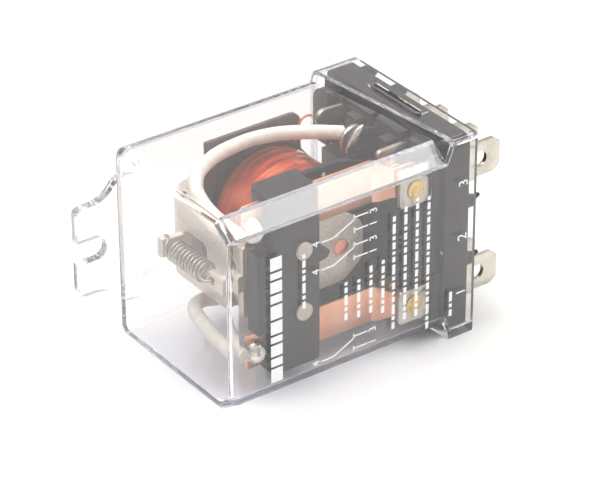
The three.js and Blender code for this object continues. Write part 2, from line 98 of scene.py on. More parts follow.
def put(tree, kind, inputs=None, stops=(), **settings):
    """Adds a node with its settings. Each input is a value, or a socket to link from."""
    node = tree.nodes.new("ShaderNode" + kind)
    for key, value in settings.items():
        setattr(node, key, value)
    for key, value in (inputs or {}).items():
        if isinstance(value, bpy.types.NodeSocket):
            tree.links.new(value, node.inputs[key])
        else:
            node.inputs[key].default_value = value
    if stops:
        ramp = node.color_ramp.elements
        while len(ramp) < len(stops):
            ramp.new(0.5)
        for element, (place, code) in zip(ramp, stops):
            element.position = place
            element.color = linear(code)
    return node


def material(name, colour, **surface):
    """A new material: its node tree and its shader, with the plain values set on the shader."""
    made = bpy.data.materials.new(name)
    made.use_nodes = True
    shader = made.node_tree.nodes["Principled BSDF"]
    shader.inputs["Base Color"].default_value = linear(colour)
    made.diffuse_color = linear(colour)
    for key, value in surface.items():
        shader.inputs[key.replace("_", " ")].default_value = value
    return made, made.node_tree, shader


def alone(obj):
    """Selects obj and nothing else."""
    bpy.ops.object.select_all(action="DESELECT")
    obj.select_set(True)
    bpy.context.view_layer.objects.active = obj
    return obj


def settled(obj, name):
    """Names a new piece and moves its place, turn and size into its mesh."""
    alone(obj)
    obj.name = obj.data.name = name
    bpy.ops.object.transform_apply(location=True, rotation=True, scale=True)
    return obj


bpy.ops.object.select_all(action="DESELECT")
bpy.ops.mesh.primitive_plane_add(size=6, location=(0, 0, low.z))
floor = settled(bpy.context.active_object, "floor")
sweep, tree, shader = material("floor_matt_white_paint", "#FAFAF8", Roughness=0.9)
shader.inputs["Specular IOR Level"].default_value = 0.1
place = put(tree, "TexCoord")
cloud = put(tree, "TexNoise", {"Vector": place.outputs["Object"], "Scale": 9, "Detail": 3})
tone = put(tree, "ValToRGB", {"Fac": cloud.outputs["Fac"]}, [(0.3, "#F8F8F6"), (0.7, "#FBFBFA")])
tree.links.new(tone.outputs["Color"], shader.inputs["Base Color"])
floor.data.materials.append(sweep)
floor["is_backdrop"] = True

world = bpy.data.worlds.new("studio")
world.use_nodes = True
world.node_tree.nodes["Background"].inputs["Color"].default_value = linear("#FFFCF8")
world.node_tree.nodes["Background"].inputs["Strength"].default_value = 0.72
bpy.context.scene.world = world
# The small light stands high on the right, where the cover's long front chamfer mirrors it.
for name, size, power, spot in (
    ("overhead_soft_box", (0.5, 0.5), 2.5, (-0.12, 0.14, 0.55)),
    ("chamfer_light", (0.19, 0.15), 0.52, (0.19, -0.127, 0.37)),
):
    lamp = bpy.data.objects.new(name, bpy.data.lights.new(name, "AREA"))
    lamp.data.shape = "RECTANGLE"
    lamp.data.size, lamp.data.size_y = size
    lamp.data.energy = power
    lamp.location = spot
    lamp.rotation_euler = (Vector((-0.02, 0, 0)) - lamp.location).to_track_quat("-Z", "Y").to_euler()
    bpy.context.scene.collection.objects.link(lamp)
bpy.context.scene.view_settings.view_transform = "Standard"
# Light that turns many times inside the cover's wall must not be lost.
tracing = bpy.context.scene.cycles
tracing.max_bounces = tracing.glossy_bounces = tracing.transmission_bounces = 40


# ---- Cover -----------------------------------------------------------------------------
# The cover is one clear polycarbonate moulding, 1.35 mm thick, with a wider skirt that snaps
# over the base, a latch window on each side, and a slotted flange tab at the closed end.
# Its edges are barely rounded by the mould, and they gather the light into thin bright lines.
def pick(kind, test):
    """In edit mode, selects the parts of that kind (VERT, EDGE or FACE) that pass the test."""
    mesh = bpy.context.edit_object.data
    bpy.ops.mesh.select_mode(type=kind)
    bpy.ops.mesh.select_all(action="DESELECT")
    shape = bmesh.from_edit_mesh(mesh)
    parts = {"VERT": shape.verts, "EDGE": shape.edges, "FACE": shape.faces}[kind]
    for part in parts:
        part.select_set(bool(test(part)))
    bmesh.update_edit_mesh(mesh)


def cube(x, y, z):
    """A cube that fills those spans, in millimetres, selected and in place."""
    bpy.ops.object.select_all(action="DESELECT")
    spans = [(a * MM, b * MM) for a, b in (x, y, z)]
    bpy.ops.mesh.primitive_cube_add(size=1, location=[(a + b) / 2 for a, b in spans])
    made = bpy.context.active_object
    made.scale = [b - a for a, b in spans]
    bpy.ops.object.transform_apply(location=True, rotation=True, scale=True)
    return made


def modified(obj, kind, **settings):
    """Adds a modifier and applies it."""
    alone(obj)
    extra = obj.modifiers.new(kind.lower(), kind)
    for key, value in settings.items():
        setattr(extra, key, value)
    bpy.ops.object.modifier_apply(modifier=extra.name)


def combined(obj, tool, operation):
    """Joins a tool piece to obj, or cuts it away, and removes the tool."""
    modified(obj, "BOOLEAN", object=tool, operation=operation, solver="EXACT")
    bpy.data.objects.remove(tool)


def rounded_box(x, y, z, along, radius, segments=9):
    """A box of those spans with its four edges along that axis rounded, in millimetres."""
    made = cube(x, y, z)
    axis = "xyz".index(along)
    bpy.ops.object.mode_set(mode="EDIT")
    pick("EDGE", lambda e: abs(e.verts[0].co[axis] - e.verts[1].co[axis]) > 1e-5)
    bpy.ops.mesh.bevel(offset=radius * MM, segments=segments, affect="EDGES")
    bpy.ops.object.mode_set(mode="OBJECT")
    return made


def along_x(edge):
    """Whether an edge runs along the relay."""
    return abs(edge.verts[0].co.x - edge.verts[1].co.x) > 1e-5


wall = 1.35  # mm
front_face = -17.2  # mm, the y of the flat front


def body_form(by, x):
    """The cover's body over that x span: flat chamfers in front, each face in by that many mm."""
    front, back, side = front_face + by, 16.76 - by, 18.26 - by
    made = cube(x, (front, back), (-side, side))
    bpy.ops.object.mode_set(mode="EDIT")
    pick("EDGE", lambda e: along_x(e) and e.verts[0].co.y > 0)
    bpy.ops.mesh.bevel(offset=(2 - 0.7 * by) * MM, segments=6, affect="EDGES")
    pick("EDGE", lambda e: along_x(e) and e.verts[0].co.y < 0)
    bpy.ops.mesh.bevel(offset=3.5 * MM, segments=1, affect="EDGES")
    # The chamfers lie a little flatter than 45 degrees: 4.1 mm deep and 2.96 mm high.
    pick("VERT", lambda v: v.co.y < (front + 1) * MM)
    flatter = (15.3 - 0.511 * by) / (side - 3.5)
    bpy.ops.transform.resize(value=(1, 1, flatter), center_override=(0, 0, 0))
    pick("VERT", lambda v: (front + 1) * MM < v.co.y < 0)
    bpy.ops.transform.translate(value=(0, (0.6 - 0.677 * by) * MM, 0))
    bpy.ops.object.mode_set(mode="OBJECT")
    return made


def skirt_form(by, end):
    """The skirt and its ramp, as far as that x, each face in by that many mm."""
    ramp = -9.9 + 0.45 * by
    made = cube((ramp + 1.4, end), (front_face + by, 18 - by), (by - 19.5, 19.5 - by))
    bpy.ops.object.mode_set(mode="EDIT")
    pick("EDGE", lambda e: along_x(e) and e.verts[0].co.y > 0)
    bpy.ops.mesh.bevel(offset=(2.2 - by) * MM, segments=6, affect="EDGES")
    pick("EDGE", lambda e: along_x(e) and e.verts[0].co.y < 0)
    bpy.ops.mesh.bevel(offset=0.8 * MM, segments=3, affect="EDGES")
    bpy.ops.object.mode_set(mode="OBJECT")
    ramp_foot = body_form(by, (ramp, ramp + 0.05))
    alone(made)
    ramp_foot.select_set(True)
    bpy.ops.object.join()
    bpy.ops.object.mode_set(mode="EDIT")
    # In front the ramp starts 3.6 mm nearer the rim.
    pick("VERT", lambda v: v.co.y < 0 and v.co.x < (ramp + 2) * MM)
    bpy.ops.transform.translate(value=(3.6 * MM, 0, 0))
    bpy.ops.mesh.select_all(action="SELECT")
    bpy.ops.mesh.convex_hull(use_existing_faces=False)
    bpy.ops.object.mode_set(mode="OBJECT")
    return made


cover = body_form(0, (-49.8, -3))
bpy.ops.object.mode_set(mode="EDIT")
pick("EDGE", lambda e: all(v.co.x < -49.7 * MM for v in e.verts))
bpy.ops.mesh.bevel(offset=1.4 * MM, segments=5, affect="EDGES")
bpy.ops.object.mode_set(mode="OBJECT")
combined(cover, skirt_form(0, 0), "UNION")
# The flange tab is flared where it joins the body's back, and its root tapers into the wall.
tab = cube((-57.5, -51.6), (16.2, 18), (-8.4, 8.4))
bpy.ops.object.mode_set(mode="EDIT")
pick("FACE", lambda f: f.normal.x > 0.9)
bpy.ops.mesh.extrude_region_move(TRANSFORM_OT_translate={"value": (2.4 * MM, 0, 0)})
bpy.ops.transform.resize(value=(1, 1, 12.1 / 8.4), center_override=(0, 0, 0))
bpy.ops.mesh.extrude_region_move(TRANSFORM_OT_translate={"value": (5.2 * MM, 0, 0)})
for at, radius in ((-57.5, 1.3), (-51.6, 2.6), (-49.2, 2.6), (-44, 1)):
    pick("EDGE", lambda e: all(abs(v.co.x - at * MM) < 1e-5 for v in e.verts)
         and abs(e.verts[0].co.y - e.verts[1].co.y) > 1e-3)
    bpy.ops.mesh.bevel(offset=radius * MM, segments=5, affect="EDGES")
pick("VERT", lambda v: v.co.x > -46 * MM and v.co.y > 17 * MM)
bpy.ops.transform.translate(value=(0, -1.15 * MM, 0))
bpy.ops.object.mode_set(mode="OBJECT")
slot = rounded_box((-65, -51.7), (10, 20), (-2.1, 2.1), "y", 2.09, 10)
combined(tab, slot, "DIFFERENCE")
combined(cover, tab, "UNION")
inside = body_form(wall, (-49.8 + wall, 2))
bpy.ops.object.mode_set(mode="EDIT")
pick("EDGE", lambda e: all(v.co.x < -48.4 * MM for v in e.verts))
bpy.ops.mesh.bevel(offset=0.6 * MM, segments=3, affect="EDGES")
bpy.ops.object.mode_set(mode="OBJECT")
combined(cover, inside, "DIFFERENCE")
combined(cover, skirt_form(wall, 3), "DIFFERENCE")
settled(cover, "clear_cover")
modified(cover, "BEVEL", width=0.12 * MM, segments=2, limit_method="ANGLE",
         angle_limit=math.radians(30))
for side in (1, -1):
    latch = rounded_box((-4.9, -2.4), (-7.2, 6.8), sorted((side * 19.0, side * 19.9)), "z", 0.5, 4)
    combined(cover, latch, "UNION")
    window = rounded_box((-4.35, -3.35), (-6.6, 6.2), sorted((side * 17, side * 21)), "z", 0.4, 4)
    combined(cover, window, "DIFFERENCE")
alone(cover)
bpy.ops.object.shade_smooth_by_angle(angle=math.radians(28))
modified(cover, "WEIGHTED_NORMAL", keep_sharp=True, weight=100)

clear, tree, shader = material(
    "polycarbonate_injection_moulded_clear", "#FAF9FA", Roughness=0.015, IOR=1.585,
    Transmission_Weight=1.0,
)
place = put(tree, "TexCoord")
flow = put(tree, "TexNoise", {"Vector": place.outputs["Object"], "Scale": 90, "Detail": 2})
scuff = put(tree, "TexNoise", {"Vector": place.outputs["Object"], "Scale": 1400, "Detail": 2})
haze = put(tree, "MapRange", {"Value": scuff.outputs["Fac"], "From Min": 0.55, "From Max": 0.75,
                              "To Min": 0.012, "To Max": 0.05})
tree.links.new(haze.outputs["Result"], shader.inputs["Roughness"])
ripple = put(tree, "Bump", {"Height": flow.outputs["Fac"], "Strength": 0.04, "Distance": 0.0004})
tree.links.new(ripple.outputs["Normal"], shader.inputs["Normal"])
# Seen edge-on, the wall is painted a milky pale lavender, more so the more edge-on it is seen. This is
# painted light: a painted stand-in for the light that the cover's walls carry to their edges.
painted_edge_diffuse = put(tree, "BsdfDiffuse", {"Color": linear("#DEDDE8")})
painted_edge_translucent = put(tree, "BsdfTranslucent", {"Color": linear("#E6E5EE")})
painted_edge_light = put(tree, "MixShader", {0: 0.5, 1: painted_edge_diffuse.outputs["BSDF"], 2: painted_edge_translucent.outputs["BSDF"]})
edge_on = put(tree, "LayerWeight", {"Blend": 0.5})
painted_edge_share = put(tree, "MapRange", {"Value": edge_on.outputs["Facing"], "From Min": 0.6, "From Max": 0.98,
                               "To Min": 0.015, "To Max": 0.7})
body = put(tree, "MixShader", {0: painted_edge_share.outputs["Result"], 1: shader.outputs["BSDF"],
                               2: painted_edge_light.outputs["Shader"]})
# Light from the lamps goes straight through to the works inside, less what the wall keeps.
lamplight = put(tree, "LightPath")
passing = put(tree, "BsdfTransparent", {"Color": linear("#EFF0F3")})
either = put(tree, "MixShader", {0: lamplight.outputs["Is Shadow Ray"], 1: body.outputs["Shader"],
                                 2: passing.outputs["BSDF"]})
tree.links.new(either.outputs["Shader"], tree.nodes["Material Output"].inputs["Surface"])
cover.data.materials.clear()
cover.data.materials.append(clear)
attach(cover, "housing")
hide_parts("cover")


# ---- Printed legend -----------------------------------------------------------------------
# White ink is pad-printed on the cover's front: a column of bold bars, rows of small bars, three
# changeover contact symbols and their numbers. The film is 0.03 mm thick and nearly opaque.
film = 0.03  # mm


def rule(x0, z0, x1, z1, width=0.24):
    """A printed line between two places on the front, in millimetres."""
    bpy.ops.object.select_all(action="DESELECT")
    middle = ((x0 + x1) / 2 * MM, (front_face - film / 2) * MM, (z0 + z1) / 2 * MM)
    bpy.ops.mesh.primitive_cube_add(size=1, location=middle)
    made = bpy.context.active_object
    made.scale = (math.hypot(x1 - x0, z1 - z0) * MM, film * MM, width * MM)
    made.rotation_euler.y = -math.atan2(z1 - z0, x1 - x0)
    printed.append(made)


def number(text, x, z, height):
    """A printed number that reads along +Z, its foot at x and its middle at z."""
    bpy.ops.object.select_all(action="DESELECT")
    bpy.ops.object.text_add()
    made = bpy.context.active_object
    made.data.body = text
    made.data.align_x = "CENTER"
    made.data.size = height / 0.7 * MM
    made.data.extrude = film * MM
    made.data.resolution_u = 4
    upright = Matrix(((0, -1, 0), (0, 0, -1), (1, 0, 0))).to_4x4()
    made.matrix_world = Matrix.Translation((x * MM, front_face * MM, z * MM)) @ upright
    bpy.ops.object.convert(target="MESH")
    printed.append(bpy.context.active_object)


def bars(x, z0, z1, width, lengths):
    """A row of printed bars from z0 to z1, their lengths taken in turn, in millimetres."""
    k = 0
    while z0 + lengths[k % len(lengths)] <= z1:
        z = z0 + lengths[k % len(lengths)]
        rule(x, z0, x, z, width)
        z0 = z + 0.45
        k += 1


printed = []
bars(-41, -13.6, 12.8, 2.3, (2.6, 1.5, 2.1, 1.2, 2.4))
for x, z0, z1 in (
    (-35.5, -1.6, 10.6), (-27, -7, 1), (-24.4, -7.4, 1), (-21.9, -7.4, 2), (-19.4, -8.4, 3.4),
    (-17.2, -12.4, 10), (-14.8, -11.4, 10.4), (-12.4, -11.6, 11.8), (-10, -15, 12.8), (-5, -14.4, -9),
):
    bars(x, z0, z1, 0.62, (1.3, 0.7, 1.9, 1.0, 0.6))
for z in (-13.2, 4.4, 9.6):
    rule(-32, z, -29.6, z)
    rule(-29.6, z, -25.4, z + 2)
    rule(-25.4, z, -22.6, z)
    rule(-25.4, z + 2.4, -22.6, z + 2.4)
    rule(-25.4, z - 0.5, -25.4, z + 0.5)
    rule(-25.4, z + 1.9, -25.4, z + 2.9)
    number("4", -32.4, z, 1.5)
    number("1", -20.8, z, 1.5)
    number("3", -20.8, z + 2.4, 1.5)
for z, text in ((-10.4, "1"), (0.4, "2"), (10.8, "3")):
    number(text, -1.9, z, 1.9)
alone(printed[0])
for piece in printed:
    piece.select_set(True)
bpy.ops.object.join()
legend = settled(bpy.context.active_object, "printed_legend")
ink, tree, shader = material("pad_print_ink_white", "#F6F6F8", Roughness=0.5)
place = put(tree, "TexCoord")
uneven = put(tree, "TexNoise", {"Vector": place.outputs["Object"], "Scale": 2500, "Detail": 3})
tone = put(tree, "ValToRGB", {"Fac": uneven.outputs["Fac"]}, [(0.3, "#ECECF0"), (0.6, "#FBFBFC")])
tree.links.new(tone.outputs["Color"], shader.inputs["Base Color"])
legend.data.materials.clear()
legend.data.materials.append(ink)
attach(legend, "housing")


# ---- Base ------------------------------------------------------------------------------
# The base is a black phenolic moulding that holds the eight terminals, with a pedestal, ribs
# and short pegs. Pressed phenolic is dense and a little grainy, with a dull sheen.
def eased(name, width, finish, angle=34, segments=2):
    """Gives a CAD node its finish, and takes the sharpness off its edges by that width in mm."""
    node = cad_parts[name]
    node.data.materials.clear()
    node.data.materials.append(finish)
    weld = node.modifiers.new("weld", "WELD")
    weld.merge_threshold = 2e-6
    if width:
        bevel = node.modifiers.new("bevel", "BEVEL")
        bevel.width = width * MM
        bevel.segments = segments
        bevel.limit_method = "ANGLE"
        bevel.angle_limit = math.radians(angle)
        bevel.harden_normals = True
        bevel.use_clamp_overlap = True
    node.data.polygons.foreach_set("use_smooth", [True] * len(node.data.polygons))


def black_moulding(name, colours, roughness, grain):
    """Black thermoset: mottled by its filler, with pale dust specks in the surface."""
    made, tree, shader = material(name, colours[0], Roughness=roughness)
    place = put(tree, "TexCoord")
    filler = put(tree, "TexNoise", {"Vector": place.outputs["Object"], "Scale": 1 / (grain * MM),
                                    "Detail": 3})
    shade = put(tree, "ValToRGB", {"Fac": filler.outputs["Fac"]},
                [(0.35, colours[0]), (0.7, colours[1])])
    # Dust and flash specks of about 0.1 mm, one or two to a square centimetre.
    speck = put(tree, "TexVoronoi", {"Vector": place.outputs["Object"], "Scale": 330})
    near = put(tree, "Math", {0: speck.outputs["Distance"], 1: 0.13}, operation="LESS_THAN")
    chance = put(tree, "SeparateColor", {"Color": speck.outputs["Color"]})
    few = put(tree, "Math", {0: chance.outputs["Red"], 1: 0.9}, operation="GREATER_THAN")
    both = put(tree, "Math", {0: near.outputs["Value"], 1: few.outputs["Value"]}, operation="MULTIPLY")
    mixed = put(tree, "Mix", {"Factor": both.outputs["Value"], "A": shade.outputs["Color"],
                              "B": linear("#D8D4CC")}, data_type="RGBA")
    tree.links.new(mixed.outputs["Result"], shader.inputs["Base Color"])
    dull = put(tree, "MapRange", {"Value": filler.outputs["Fac"], "To Min": roughness - 0.08,
                                  "To Max": roughness + 0.12})
    tree.links.new(dull.outputs["Result"], shader.inputs["Roughness"])
    skin = put(tree, "Bump", {"Height": filler.outputs["Fac"], "Strength": 0.25, "Distance": 0.00003})
    tree.links.new(skin.outputs["Normal"], shader.inputs["Normal"])
    return made


phenolic = black_moulding("phenolic_compression_moulded_black", ("#1F1E1D", "#2E2C2B"), 0.42, 0.35)
eased("base", 0.14, phenolic)
# A black nose snaps into each latch window of the cover.
for side, place_name in ((1, "upper"), (-1, "lower")):
    nose = cube((-4.3, -3.4), (-6.5, 6.1), sorted((side * 18.1, side * 19.75)))
    modified(nose, "BEVEL", width=0.15 * MM, segments=2)
    settled(nose, f"latch_nose_{place_name}")
    nose.data.materials.append(phenolic)
    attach(nose, "housing")


# ---- Terminals -------------------------------------------------------------------------
# Each terminal is stamped from brass strip and tinned: a quick-connect blade outside, and a
# contact plate or a solder lug inside. Rolling leaves faint lines along the strip.
tinned, tree, shader = material("brass_stamped_tin_plated", "#CFCABF", Metallic=1.0, Roughness=0.3)
place = put(tree, "TexCoord")
along = put(tree, "Mapping", {"Vector": place.outputs["Object"], "Scale": (0.12, 1, 1)})
rolled = put(tree, "TexNoise", {"Vector": along.outputs["Vector"], "Scale": 5200, "Detail": 3})
stain = put(tree, "TexNoise", {"Vector": place.outputs["Object"], "Scale": 420, "Detail": 4})
shade = put(tree, "ValToRGB", {"Fac": stain.outputs["Fac"]},
            [(0.3, "#BDB7AA"), (0.55, "#D3CEC4"), (0.75, "#DAD6CC")])
tree.links.new(shade.outputs["Color"], shader.inputs["Base Color"])
dull = put(tree, "MapRange", {"Value": stain.outputs["Fac"], "From Min": 0.3, "From Max": 0.7,
                              "To Min": 0.24, "To Max": 0.42})
tree.links.new(dull.outputs["Result"], shader.inputs["Roughness"])
lines = put(tree, "Bump", {"Height": rolled.outputs["Fac"], "Strength": 0.22, "Distance": 0.00002})
tree.links.new(lines.outputs["Normal"], shader.inputs["Normal"])
for place_name in ("upper", "lower"):
    for kind in ("nc", "no", "com", "coil"):
        eased(f"terminal_{kind}_{place_name}", 0.1, tinned)


# ---- Contacts --------------------------------------------------------------------------
# The contacts are fine silver rivets with a gilt face, headed on both sides of their strip.
# A gilt face is bright and warm, with a little mark from each closing.
gilt, tree, shader = material("silver_contact_gilt", "#E8C878", Metallic=1.0, Roughness=0.3)
place = put(tree, "TexCoord")
pits = put(tree, "TexNoise", {"Vector": place.outputs["Object"], "Scale": 2600, "Detail": 3})
shade = put(tree, "ValToRGB", {"Fac": pits.outputs["Fac"]}, [(0.3, "#D9AE55"), (0.6, "#F0D48C")])
tree.links.new(shade.outputs["Color"], shader.inputs["Base Color"])
dents = put(tree, "Bump", {"Height": pits.outputs["Fac"], "Strength": 0.3, "Distance": 0.00003})
tree.links.new(dents.outputs["Normal"], shader.inputs["Normal"])
for place_name in ("upper", "lower"):
    for kind in ("nc", "no", "moving"):
        eased(f"contact_{kind}_{place_name}", 0.18, gilt, segments=3)


# ---- Contact arms ----------------------------------------------------------------------
# Each moving arm is a strip of half-hard copper, set down at its free end to the contact.
# The bare strip is pale pink with long rolling lines and a light bloom of oxide.
copper, tree, shader = material("copper_strip_rolled_bare", "#F4B898", Metallic=0.85, Roughness=0.34)
place = put(tree, "TexCoord")
along = put(tree, "Mapping", {"Vector": place.outputs["Object"], "Scale": (0.06, 1, 1)})
rolled = put(tree, "TexNoise", {"Vector": along.outputs["Vector"], "Scale": 4200, "Detail": 4})
bloom = put(tree, "TexNoise", {"Vector": place.outputs["Object"], "Scale": 260, "Detail": 3})
shade = put(tree, "ValToRGB", {"Fac": bloom.outputs["Fac"]}, [(0.3, "#F0A884"), (0.7, "#FAC6AA")])
tree.links.new(shade.outputs["Color"], shader.inputs["Base Color"])
dull = put(tree, "MapRange", {"Value": rolled.outputs["Fac"], "To Min": 0.22, "To Max": 0.46})
tree.links.new(dull.outputs["Result"], shader.inputs["Roughness"])
lines = put(tree, "Bump", {"Height": rolled.outputs["Fac"], "Strength": 0.2, "Distance": 0.00002})
tree.links.new(lines.outputs["Normal"], shader.inputs["Normal"])
for place_name in ("upper", "lower"):
    eased(f"arm_{place_name}", 0.06, copper)


# ---- Armature, yoke and core ------------------------------------------------------------
# The magnet's iron is pressed from soft steel plate, barrel-plated with nickel and zinc and
# left matt. The armature rocks on the yoke's edge; a copper rivet keeps it off the pole.
plated, tree, shader = material("soft_steel_zinc_plated_matt", "#E2D8CC", Metallic=0.6, Roughness=0.5)
place = put(tree, "TexCoord")
frost = put(tree, "TexNoise", {"Vector": place.outputs["Object"], "Scale": 3000, "Detail": 3})
shade = put(tree, "ValToRGB", {"Fac": frost.outputs["Fac"]},
            [(0.3, "#CDC1B2"), (0.5, "#E0D5C8"), (0.72, "#EEE6DB")])
# Small bright scratches from the barrel, about 1 mm long and 0.15 mm wide.
long = put(tree, "Mapping", {"Vector": place.outputs["Object"], "Scale": (0.22, 1, 1)})
chip = put(tree, "TexVoronoi", {"Vector": long.outputs["Vector"], "Scale": 1050})
near = put(tree, "Math", {0: chip.outputs["Distance"], 1: 0.16}, operation="LESS_THAN")
chance = put(tree, "SeparateColor", {"Color": chip.outputs["Color"]})
few = put(tree, "Math", {0: chance.outputs["Green"], 1: 0.86}, operation="GREATER_THAN")
both = put(tree, "Math", {0: near.outputs["Value"], 1: few.outputs["Value"]}, operation="MULTIPLY")
mixed = put(tree, "Mix", {"Factor": both.outputs["Value"], "A": shade.outputs["Color"],
                          "B": linear("#F8F4EC")}, data_type="RGBA")
tree.links.new(mixed.outputs["Result"], shader.inputs["Base Color"])
dull = put(tree, "MapRange", {"Value": frost.outputs["Fac"], "To Min": 0.36, "To Max": 0.62})
tree.links.new(dull.outputs["Result"], shader.inputs["Roughness"])
skin = put(tree, "Bump", {"Height": frost.outputs["Fac"], "Strength": 0.3, "Distance": 0.00003})
tree.links.new(skin.outputs["Normal"], shader.inputs["Normal"])
eased("armature", 0.12, plated)
eased("yoke", 0.16, plated)
eased("core", 0.2, plated)
for place_name in ("upper", "lower"):
    eased(f"carrier_rivet_{place_name}", 0.3, plated, segments=4)

rose, tree, shader = material("copper_rivet_headed", "#EFA082", Metallic=1.0, Roughness=0.34)
place = put(tree, "TexCoord")
bloom = put(tree, "TexNoise", {"Vector": place.outputs["Object"], "Scale": 2400, "Detail": 4})
shade = put(tree, "ValToRGB", {"Fac": bloom.outputs["Fac"]}, [(0.3, "#DF8C6C"), (0.7, "#F7B094")])
tree.links.new(shade.outputs["Color"], shader.inputs["Base Color"])
dents = put(tree, "Bump", {"Height": bloom.outputs["Fac"], "Strength": 0.25, "Distance": 0.00002})
tree.links.new(dents.outputs["Normal"], shader.inputs["Normal"])
eased("residual_rivet", 0.06, rose)


# ---- Contact carrier and bobbin ---------------------------------------------------------
# The carrier is a black moulding riveted to the armature, which holds the arms apart. The
# bobbin is moulded in black nylon, smoother and a little glossier than the phenolic.
eased("contact_carrier", 0.12, phenolic)
nylon = black_moulding("nylon_moulded_black", ("#1A1918", "#242221"), 0.34, 0.8)
eased("bobbin", 0.15, nylon)


# ---- Winding ----------------------------------------------------------------------------
# Thousands of turns of fine enamelled copper wire lie in uneven layers on the bobbin. Each
# turn is a line of orange lacquer, with painted glints and painted shade in its colour, and the
# layers sink a little at the flanges.
centre = Vector((-23 * MM, 0, 0))
wind_low, wind_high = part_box("coil_winding")
bpy.ops.object.select_all(action="DESELECT")
bpy.ops.mesh.primitive_cylinder_add(
    vertices=120, radius=10.75 * MM, depth=wind_high.y - wind_low.y,
    location=(centre.x, (wind_high.y + wind_low.y) / 2, 0), rotation=(math.pi / 2, 0, 0),
)
bpy.ops.object.transform_apply(location=True, rotation=True, scale=True)
winding = bpy.context.active_object
bpy.ops.object.mode_set(mode="EDIT")
pick("FACE", lambda f: abs(f.normal.y) > 0.9)
bpy.ops.mesh.inset(thickness=5.2 * MM)
pick("EDGE", lambda e: abs(e.verts[0].co.y - e.verts[1].co.y) > 5 * MM)
bpy.ops.mesh.subdivide(number_cuts=60)
bpy.ops.object.mode_set(mode="OBJECT")
settled(winding, "winding_wires")
mid, half = (wind_low.y + wind_high.y) / 2, (wind_high.y - wind_low.y) / 2
for vertex in winding.data.vertices:
    away = Vector((vertex.co.x - centre.x, 0, vertex.co.z))
    reach = away.length
    if reach < 10 * MM:
        continue
    edge = abs(vertex.co.y - mid) / half
    turn = math.atan2(away.z, away.x)
    layer = noise.noise(Vector((math.cos(turn) * 0.8, vertex.co.y / MM * 0.9, math.sin(turn) * 0.8)))
    fine = noise.noise(Vector((math.cos(turn) * 2, vertex.co.y / MM * 4, math.sin(turn) * 2)))
    reach += (0.12 * layer + 0.05 * fine - 0.75 * max(0, edge - 0.72) ** 1.5 * 4) * MM
    away.normalize()
    vertex.co.x = centre.x + away.x * reach
    vertex.co.z = away.z * reach
bpy.ops.object.shade_smooth_by_angle(angle=math.radians(50))
lacquer, tree, shader = material("copper_wire_enamelled", "#E8602E", Metallic=0.6, Roughness=0.26)
shader.inputs["Coat Weight"].default_value = 0.6
shader.inputs["Coat Roughness"].default_value = 0.2
place = put(tree, "TexCoord")
hub = put(tree, "Mapping", {"Vector": place.outputs["Object"], "Location": (-centre.x, 0, 0)})
split = put(tree, "SeparateXYZ", {"Vector": hub.outputs["Vector"]})
turn = put(tree, "Math", {0: split.outputs["Z"], 1: split.outputs["X"]}, operation="ARCTAN2")
# Round the coil, a streak is some 8 mm long; across it, one wire is drawn 0.2 mm wide.
streak_at = put(tree, "CombineXYZ", {"X": turn.outputs["Value"], "Y": split.outputs["Y"], "Z": 0.0})
stretch = put(tree, "Mapping", {"Vector": streak_at.outputs["Vector"], "Scale": (0.9, 2600, 1)})
streak = put(tree, "TexNoise", {"Vector": stretch.outputs["Vector"], "Scale": 1, "Detail": 3,
                                "Roughness": 0.7})
broad_at = put(tree, "Mapping", {"Vector": streak_at.outputs["Vector"], "Scale": (1.3, 420, 1)})
broad = put(tree, "TexNoise", {"Vector": broad_at.outputs["Vector"], "Scale": 1, "Detail": 3})
both = put(tree, "Mix", {"Factor": 0.45, "A": streak.outputs["Color"], "B": broad.outputs["Color"]},
           data_type="RGBA")
wire_glint_and_shade_level = put(tree, "SeparateColor", {"Color": both.outputs["Result"]})
# The darkest stops paint shade between the wires, and the pale yellow top stop paints glints; the
# orange stops between them are the lacquer's own colour.
shade = put(tree, "ValToRGB", {"Fac": wire_glint_and_shade_level.outputs["Red"]},
            [(0.3, "#5A1E10"), (0.42, "#B83C18"), (0.52, "#F0622E"), (0.62, "#FF8A40"),
             (0.7, "#FFCC66")])
tree.links.new(shade.outputs["Color"], shader.inputs["Base Color"])
wires = put(tree, "Bump", {"Height": streak.outputs["Fac"], "Strength": 0.6, "Distance": 0.00008})
tree.links.new(wires.outputs["Normal"], shader.inputs["Normal"])
winding.data.materials.clear()
winding.data.materials.append(lacquer)
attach(winding, "housing")
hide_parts("coil_winding")


# ---- Rear insulator ----------------------------------------------------------------------
# A punched sheet of brown phenolic paper laminate keeps the winding off the yoke. Its face
# has a faint fibre.
laminate, tree, shader = material("phenolic_paper_laminate", "#5C504B", Roughness=0.55)
place = put(tree, "TexCoord")
lay = put(tree, "Mapping", {"Vector": place.outputs["Object"], "Scale": (1, 1, 0.15)})
fibre = put(tree, "TexNoise", {"Vector": lay.outputs["Vector"], "Scale": 1900, "Detail": 4})
shade = put(tree, "ValToRGB", {"Fac": fibre.outputs["Fac"]}, [(0.3, "#4A403C"), (0.7, "#6A5E58")])
tree.links.new(shade.outputs["Color"], shader.inputs["Base Color"])
skin = put(tree, "Bump", {"Height": fibre.outputs["Fac"], "Strength": 0.3, "Distance": 0.00003})
tree.links.new(skin.outputs["Normal"], shader.inputs["Normal"])
eased("rear_insulator", 0.05, laminate)


